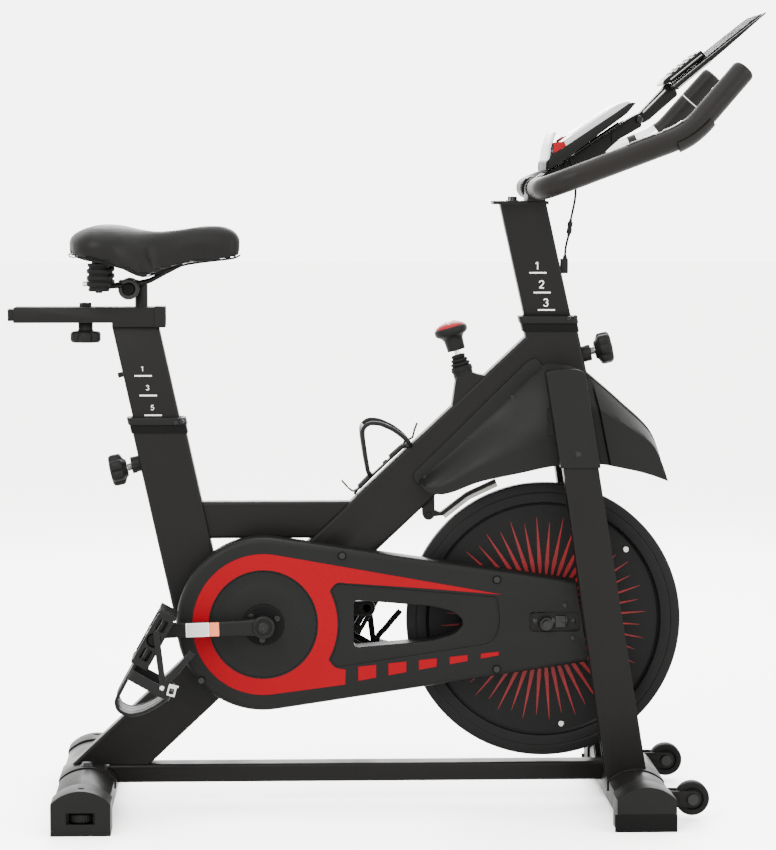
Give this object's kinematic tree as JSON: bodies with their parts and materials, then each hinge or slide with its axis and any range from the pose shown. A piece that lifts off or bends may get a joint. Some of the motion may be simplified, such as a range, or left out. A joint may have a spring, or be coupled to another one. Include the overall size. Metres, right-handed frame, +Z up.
{
  "type": "indoor spin bike",
  "caption": "Indoor spin bike: a tube frame carries a belt-driven flywheel and pedals, with a height-adjustable saddle and handlebar, a felt brake and a console.",
  "frame": {"origin": "middle of the footprint, on the surface that the feet stand on", "axes": "+X forward, towards the handlebar; +Z up; -Y is the rider's right-hand side, where the belt case is"},
  "size_m": [1.116, 0.5, 1.18],
  "materials": {
    "black_paint": "satin powder coat",
    "bright_steel": "zinc plated",
    "black_plastic": "fine moulded texture",
    "black_rubber": "matte",
    "foam_grip": "dipped, semi-matte",
    "toe_plastic": "moulded",
    "flywheel_iron": "painted, satin",
    "pulley_metal": "machined",
    "felt": "felt",
    "saddle_skin": "grained vinyl",
    "console_shell": "silver-grey with dark screen",
    "red_plastic": "satin red"
  },
  "bodies": {
    "frame": {"rear_stabiliser": "black_paint", "front_stabiliser": "black_paint", "foot_caps": "black_plastic", "stabiliser_brackets": "black_paint", "frame_bolts": "bright_steel", "main_tube": "black_paint", "seat_tube": "black_paint", "head_tube": "black_paint", "top_brace_tube": "black_paint", "base_tube": "black_paint", "fork": "black_paint", "bottom_bracket": "bright_steel", "post_sleeves": "black_plastic", "flywheel_axle": "bright_steel", "dropout_plates": "black_paint", "drive_belt": "black_rubber", "chain_case_outer": "black_plastic", "chain_case_inner": "black_plastic", "flywheel_guard": "black_plastic", "cover_screws": "bright_steel", "brake_mounts": "black_paint", "bottle_cage": "black_paint"},
    "leveller_right": {"leveller_right": "black_plastic"},
    "leveller_left": {"leveller_left": "black_plastic"},
    "transport_wheel_right": {"transport_wheel_right": "black_rubber"},
    "transport_wheel_left": {"transport_wheel_left": "black_rubber"},
    "flywheel": {"flywheel": "flywheel_iron", "flywheel_pulley": "pulley_metal"},
    "crankset": {"drive_pulley": "pulley_metal", "crank_arms": "black_paint", "crank_spindle_and_pins": "bright_steel"},
    "pedal_right": {"pedal_right": "black_plastic", "toe_clip_right": "toe_plastic"},
    "pedal_left": {"pedal_left": "black_plastic", "toe_clip_left": "toe_plastic"},
    "brake_rod": {"brake_rod": "bright_steel"},
    "brake_knob": {"brake_knob": "black_plastic"},
    "brake_arm": {"brake_arm": "black_paint", "brake_pad": "felt"},
    "seat_pin": {"seat_pin": "black_plastic"},
    "handlebar_pin": {"handlebar_pin": "black_plastic"},
    "seat_post": {"seat_post": "black_paint", "seat_rail": "black_paint"},
    "rail_knob": {"rail_knob": "black_plastic"},
    "seat_slider": {"seat_slider": "black_paint"},
    "saddle": {"saddle_clamp": "black_paint", "saddle_rails": "bright_steel", "saddle_base": "black_plastic", "saddle_cushion": "saddle_skin", "saddle_springs": "black_rubber"},
    "handlebar": {"handlebar_post": "black_paint", "handlebar": "black_paint", "grips": "foam_grip", "handlebar_clamp": "black_paint", "console": "console_shell", "tablet_holder": "black_plastic", "sensor_lead": "black_rubber", "lead_connectors": "black_rubber"},
    "console_button": {"console_button": "red_plastic"},
    "tablet_clip": {"tablet_clip": "black_plastic"}
  },
  "joints": [
    {"name": "leveller_right_turn", "type": "hinge", "parent": "frame", "child": "leveller_right", "pos_m": [-0.443, -0.2285, 0.025], "axis": [0, 0, 1], "range_deg": [-360, 360]},
    {"name": "leveller_left_turn", "type": "hinge", "parent": "frame", "child": "leveller_left", "pos_m": [-0.443, 0.2285, 0.025], "axis": [0, 0, 1], "range_deg": [-360, 360]},
    {"name": "transport_wheel_right_spin", "type": "hinge", "parent": "frame", "child": "transport_wheel_right", "pos_m": [0.4445, -0.16, 0.033], "axis": [0, 1, 0], "continuous": true},
    {"name": "transport_wheel_left_spin", "type": "hinge", "parent": "frame", "child": "transport_wheel_left", "pos_m": [0.4445, 0.16, 0.033], "axis": [0, 1, 0], "continuous": true},
    {"name": "flywheel_spin", "type": "hinge", "parent": "frame", "child": "flywheel", "pos_m": [0.2388, 0, 0.2765], "axis": [0, 1, 0], "continuous": true},
    {"name": "crank_spin", "type": "hinge", "parent": "frame", "child": "crankset", "pos_m": [-0.1812, 0, 0.2775], "axis": [0, 1, 0], "continuous": true},
    {"name": "pedal_right_spin", "type": "hinge", "parent": "crankset", "child": "pedal_right", "pos_m": [-0.33913, -0.147, 0.27281], "axis": [0, 1, 0], "continuous": true},
    {"name": "pedal_left_spin", "type": "hinge", "parent": "crankset", "child": "pedal_left", "pos_m": [-0.02327, 0.147, 0.28219], "axis": [0, 1, 0], "continuous": true},
    {"name": "brake_rod_push", "type": "slide", "parent": "frame", "child": "brake_rod", "axis": [0.2756, 0, -0.9613], "range_m": [0, 0.0055], "stiffness_N_per_m": 3000, "springref_m": -0.0015},
    {"name": "brake_knob_turn", "type": "hinge", "parent": "brake_rod", "child": "brake_knob", "pos_m": [0.0959, 0, 0.723], "axis": [-0.2756, 0, 0.9613], "range_deg": [-360, 360]},
    {"name": "brake_arm_pivot", "type": "hinge", "parent": "frame", "child": "brake_arm", "pos_m": [0.066, 0, 0.436], "axis": [0, 1, 0], "range_deg": [0, 3.05]},
    {"name": "seat_pin_pull", "type": "slide", "parent": "frame", "child": "seat_pin", "axis": [-0.9763, 0, -0.2164], "range_m": [0, 0.012], "stiffness_N_per_m": 900, "springref_m": -0.002},
    {"name": "handlebar_pin_pull", "type": "slide", "parent": "frame", "child": "handlebar_pin", "axis": [0.9763, 0, 0.2164], "range_m": [0, 0.012], "stiffness_N_per_m": 900, "springref_m": -0.002},
    {"name": "seat_post_height", "type": "slide", "parent": "frame", "child": "seat_post", "axis": [-0.2164, 0, 0.9763], "range_m": [-0.065, 0.05]},
    {"name": "seat_fore_aft", "type": "slide", "parent": "seat_post", "child": "seat_slider", "axis": [1, 0, 0], "range_m": [-0.02, 0.09]},
    {"name": "rail_knob_turn", "type": "hinge", "parent": "seat_post", "child": "rail_knob", "pos_m": [-0.444, 0, 0.7], "axis": [0, 0, 1], "range_deg": [-360, 360]},
    {"name": "saddle_tilt", "type": "hinge", "parent": "seat_slider", "child": "saddle", "pos_m": [-0.3788, 0, 0.7732], "axis": [0, 1, 0], "range_deg": [-12, 12]},
    {"name": "handlebar_height", "type": "slide", "parent": "frame", "child": "handlebar", "axis": [-0.2164, 0, 0.9763], "range_m": [-0.055, 0.04]},
    {"name": "console_button_press", "type": "slide", "parent": "handlebar", "child": "console_button", "axis": [0.5549, 0, -0.8319], "range_m": [0, 0.0015], "stiffness_N_per_m": 800},
    {"name": "tablet_clip_pull", "type": "slide", "parent": "handlebar", "child": "tablet_clip", "axis": [0.785, 0, 0.6195], "range_m": [0, 0.04], "stiffness_N_per_m": 120, "springref_m": -0.01}
  ],
  "couplings": [
    {"joint": "crank_spin", "follows": "flywheel_spin", "ratio": 0.25},
    {"joint": "brake_arm_pivot", "follows": "brake_rod_push", "rad_per_m": 9.45}
  ]
}
